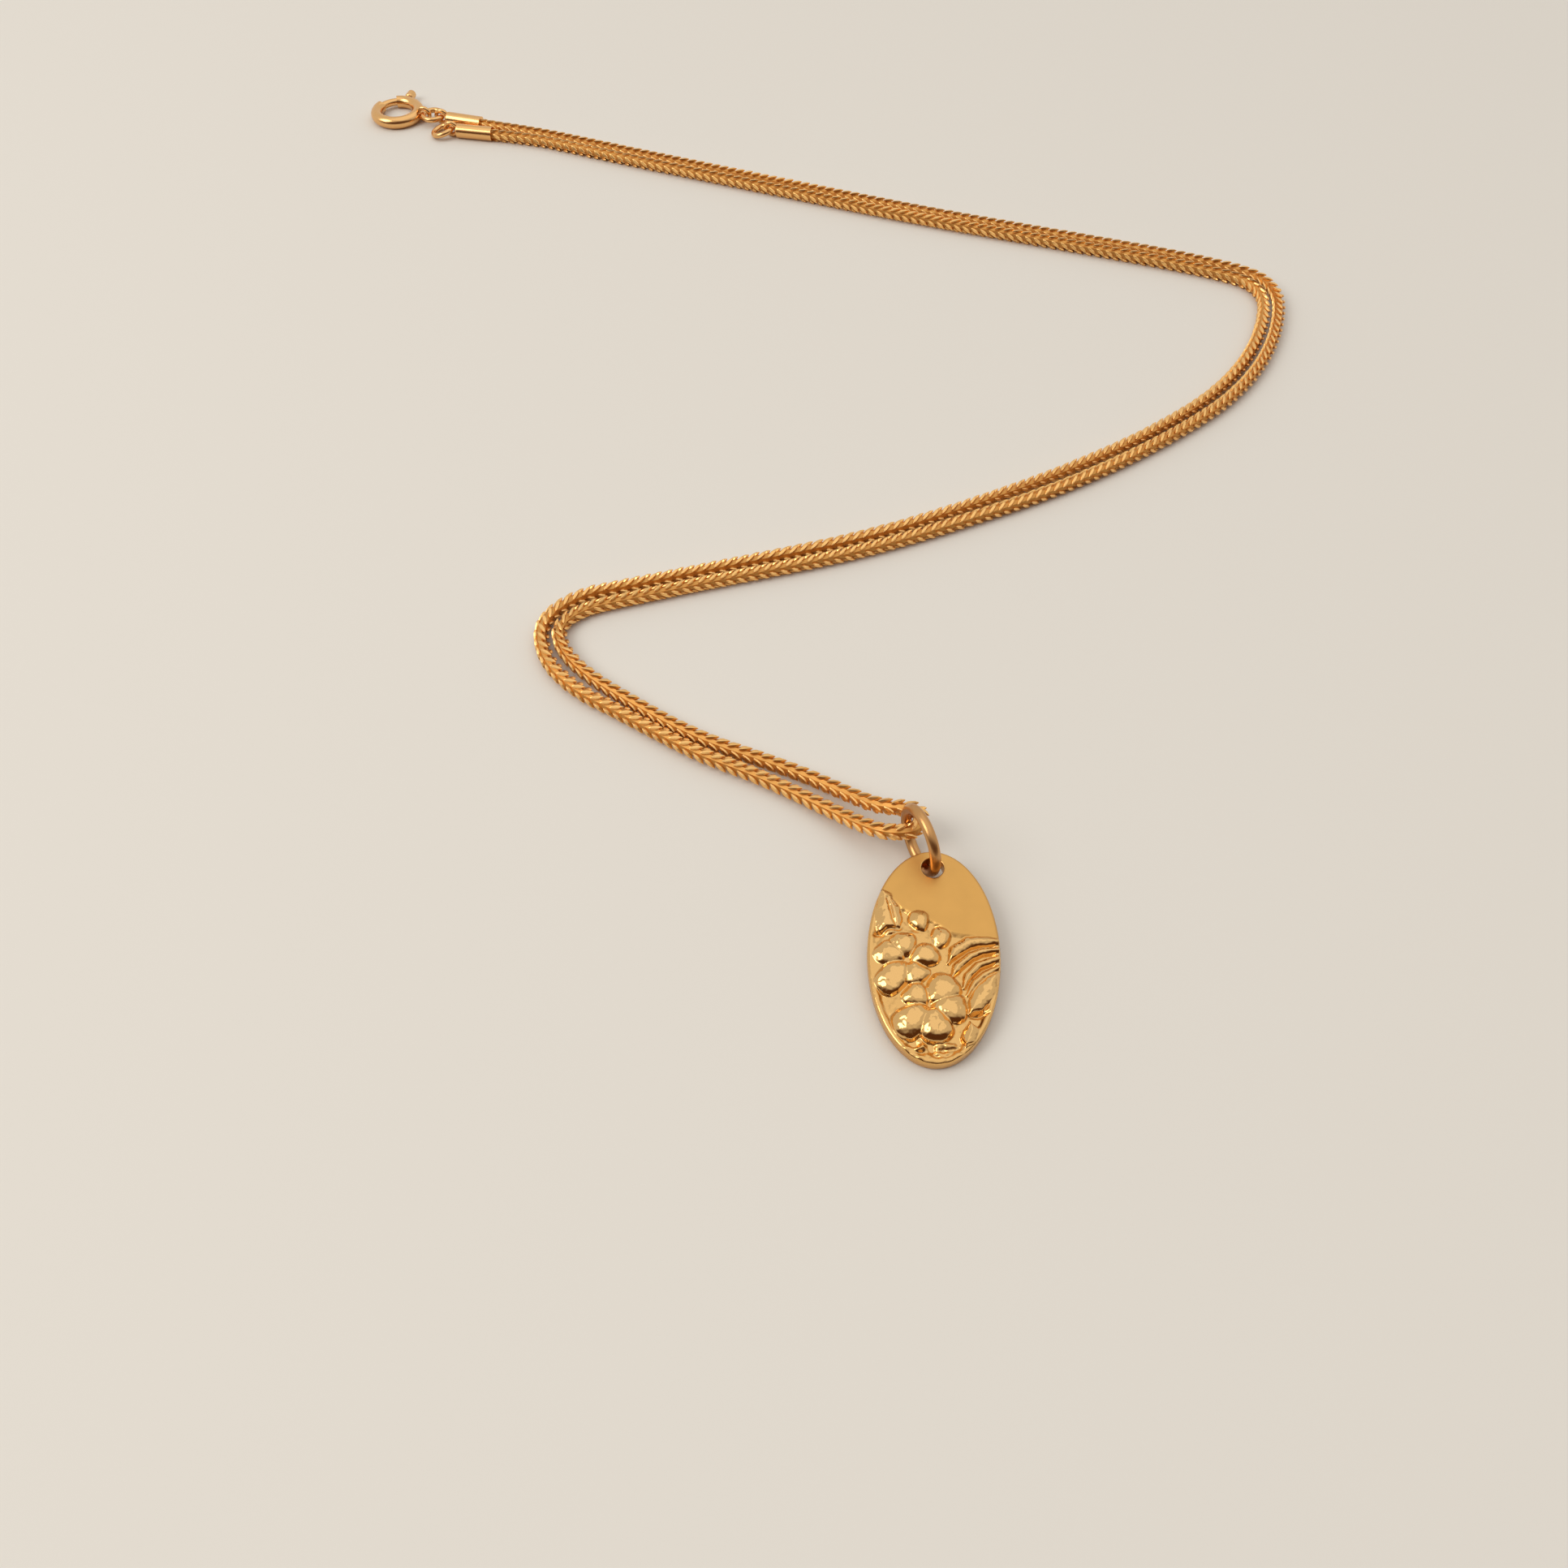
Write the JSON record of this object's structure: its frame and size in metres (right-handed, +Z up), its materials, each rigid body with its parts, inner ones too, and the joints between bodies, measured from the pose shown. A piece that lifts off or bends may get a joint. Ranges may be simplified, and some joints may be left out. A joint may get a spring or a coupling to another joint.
{
  "type": "pendant necklace",
  "caption": "Oval relief pendant on a jump ring, hung from a fine wheat chain folded in two, with end caps, a spring ring clasp and an end ring.",
  "frame": {"origin": "on the table, under the middle of the box round the pendant and its jump ring", "axes": "+Y runs up the pendant's long axis from its foot to the hole and on towards the chain, +Z is up from the table, +X is to the right seen from above"},
  "size_m": [0.0985, 0.123, 0.0055],
  "materials": {
    "pendant_gold": "satin yellow gold with polished relief",
    "ring_gold": "satin gold",
    "chain_gold": "polished gold, diamond cut",
    "findings_gold": "polished gold",
    "spring_steel": "drawn wire"
  },
  "bodies": {
    "chain": {"chain_strand_a": "chain_gold", "chain_strand_b": "chain_gold", "end_cap_a": "findings_gold", "end_cap_b": "findings_gold"},
    "jump_ring_body": {"jump_ring": "ring_gold"},
    "pendant_body": {"pendant": "pendant_gold"},
    "link_body": {"clasp_link": "findings_gold"},
    "clasp_body": {"clasp_case": "findings_gold", "clasp_eye": "findings_gold", "clasp_spring": "spring_steel"},
    "bolt_body": {"clasp_bolt": "findings_gold", "clasp_thumb_knob": "findings_gold"},
    "end_ring_body": {"end_ring": "findings_gold"}
  },
  "joints": [
    {"name": "jump_ring_on_chain", "type": "hinge", "parent": "chain", "child": "jump_ring_body", "pos_m": [-0.00138, 0.00821, 0.0024], "axis": [-0.9063, -0.4226, 0], "range_deg": [0, 20]},
    {"name": "pendant_on_jump_ring", "type": "hinge", "parent": "jump_ring_body", "child": "pendant_body", "pos_m": [-0.00086, 0.0071, 0.00275], "axis": [-0.9063, -0.4226, 0], "range_deg": [0, 110]},
    {"name": "clasp_link_in_cap_eye", "type": "hinge", "parent": "chain", "child": "link_body", "pos_m": [-0.05353, 0.10783, 0.00092], "axis": [0.2246, 0.9744, 0], "range_deg": [0, 90]},
    {"name": "clasp_on_link", "type": "hinge", "parent": "link_body", "child": "clasp_body", "pos_m": [-0.05567, 0.10832, 0.00092], "axis": [0.2246, 0.9744, 0], "range_deg": [0, 60]},
    {"name": "clasp_bolt_slide", "type": "hinge", "parent": "clasp_body", "child": "bolt_body", "pos_m": [-0.05891, 0.10907, 0.00065], "axis": [0, 0, -1], "range_deg": [0, 52], "stiffness_Nm_per_rad": 0.002, "deforming": ["clasp_spring"]},
    {"name": "end_ring_in_cap_eye", "type": "hinge", "parent": "chain", "child": "end_ring_body", "pos_m": [-0.05201, 0.10525, 0.00092], "axis": [0.137, 0.9906, 0], "range_deg": [0, 100]}
  ]
}
